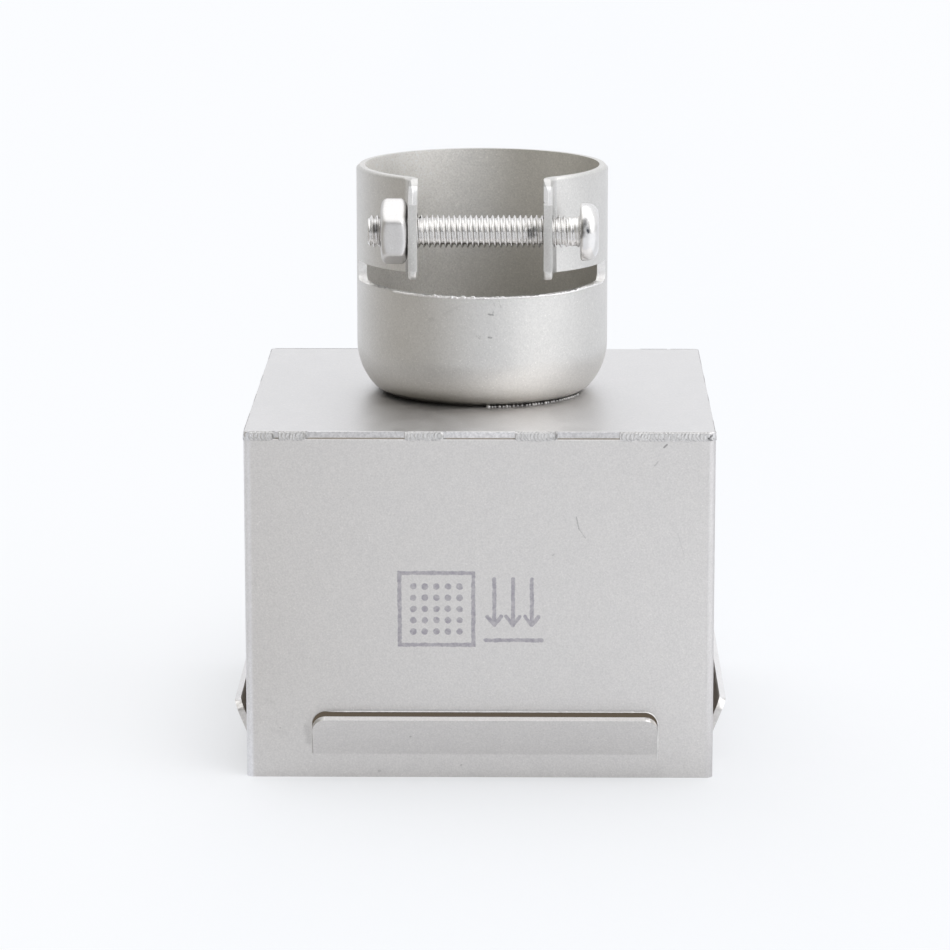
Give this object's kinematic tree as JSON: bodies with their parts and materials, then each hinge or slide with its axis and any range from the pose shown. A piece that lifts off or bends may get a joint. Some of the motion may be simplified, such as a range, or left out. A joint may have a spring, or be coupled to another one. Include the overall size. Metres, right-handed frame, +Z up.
{
  "type": "hot air nozzle",
  "caption": "Square sheet-metal hot air nozzle with a slotted clamp collar on top, louvered walls and an open mouth that covers a chip package.",
  "frame": {"origin": "centre of the open mouth's rim, at the foot of the part", "axes": "+Z up along the clamp collar's bore, +X to the right seen from the front, -Y towards the clamp screw"},
  "size_m": [0.0454, 0.0454, 0.0536],
  "materials": {
    "blasted_sheet": "bead blasted stainless steel",
    "blasted_roof": "bead blasted stainless steel",
    "blasted_cup": "bead blasted stainless steel",
    "blasted_nut": "bead blasted steel",
    "plated_screw": "bright plated steel",
    "tray_sheet": "mill finish stainless steel",
    "weld_bead": "blasted weld metal with ripples"
  },
  "bodies": {
    "nozzle": {"wall_shell": "blasted_sheet", "top_plate": "blasted_roof", "inlet_cup": "blasted_cup", "clamp_nut": "blasted_nut", "diffuser_tray": "tray_sheet", "front_seam_weld": "weld_bead", "right_seam_weld": "weld_bead", "rear_seam_weld": "weld_bead", "left_seam_weld": "weld_bead", "corner_seam_weld": "weld_bead", "cup_weld": "weld_bead"},
    "screw": {"clamp_screw": "plated_screw"}
  },
  "joints": [
    {"name": "screw_travel", "type": "slide", "parent": "nozzle", "child": "screw", "axis": [1, 0, 0], "range_m": [-0.0024, 0.0035]}
  ]
}
